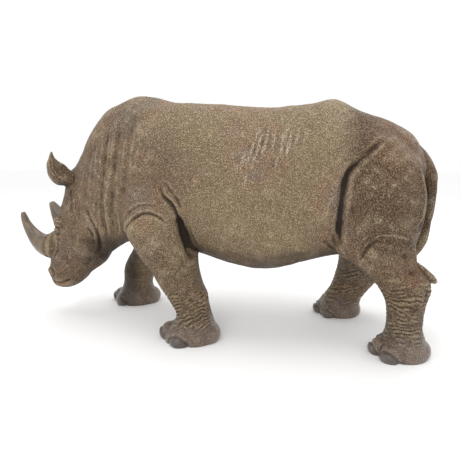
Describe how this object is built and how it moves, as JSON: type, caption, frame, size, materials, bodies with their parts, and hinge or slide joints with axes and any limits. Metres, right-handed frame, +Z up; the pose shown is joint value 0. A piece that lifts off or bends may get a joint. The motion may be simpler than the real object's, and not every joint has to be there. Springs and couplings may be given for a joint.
{
  "type": "rhinoceros figurine",
  "caption": "Walking rhinoceros with its head low, a long front horn, a short rear horn, folded hide and flat-soled feet.",
  "frame": {"origin": "middle of the figure's outline on the ground that its soles stand on", "axes": "+X towards the tail and -X towards the horn, -Y the animal's left side, +Z up"},
  "size_m": [0.7574, 0.2564, 0.4067],
  "materials": {
    "hide": "cast resin painted bronze brown, pebbled hide, dark in the folds, brushed tan on the high places"
  },
  "bodies": {
    "root": {"rhinoceros": "hide"}
  },
  "joints": []
}
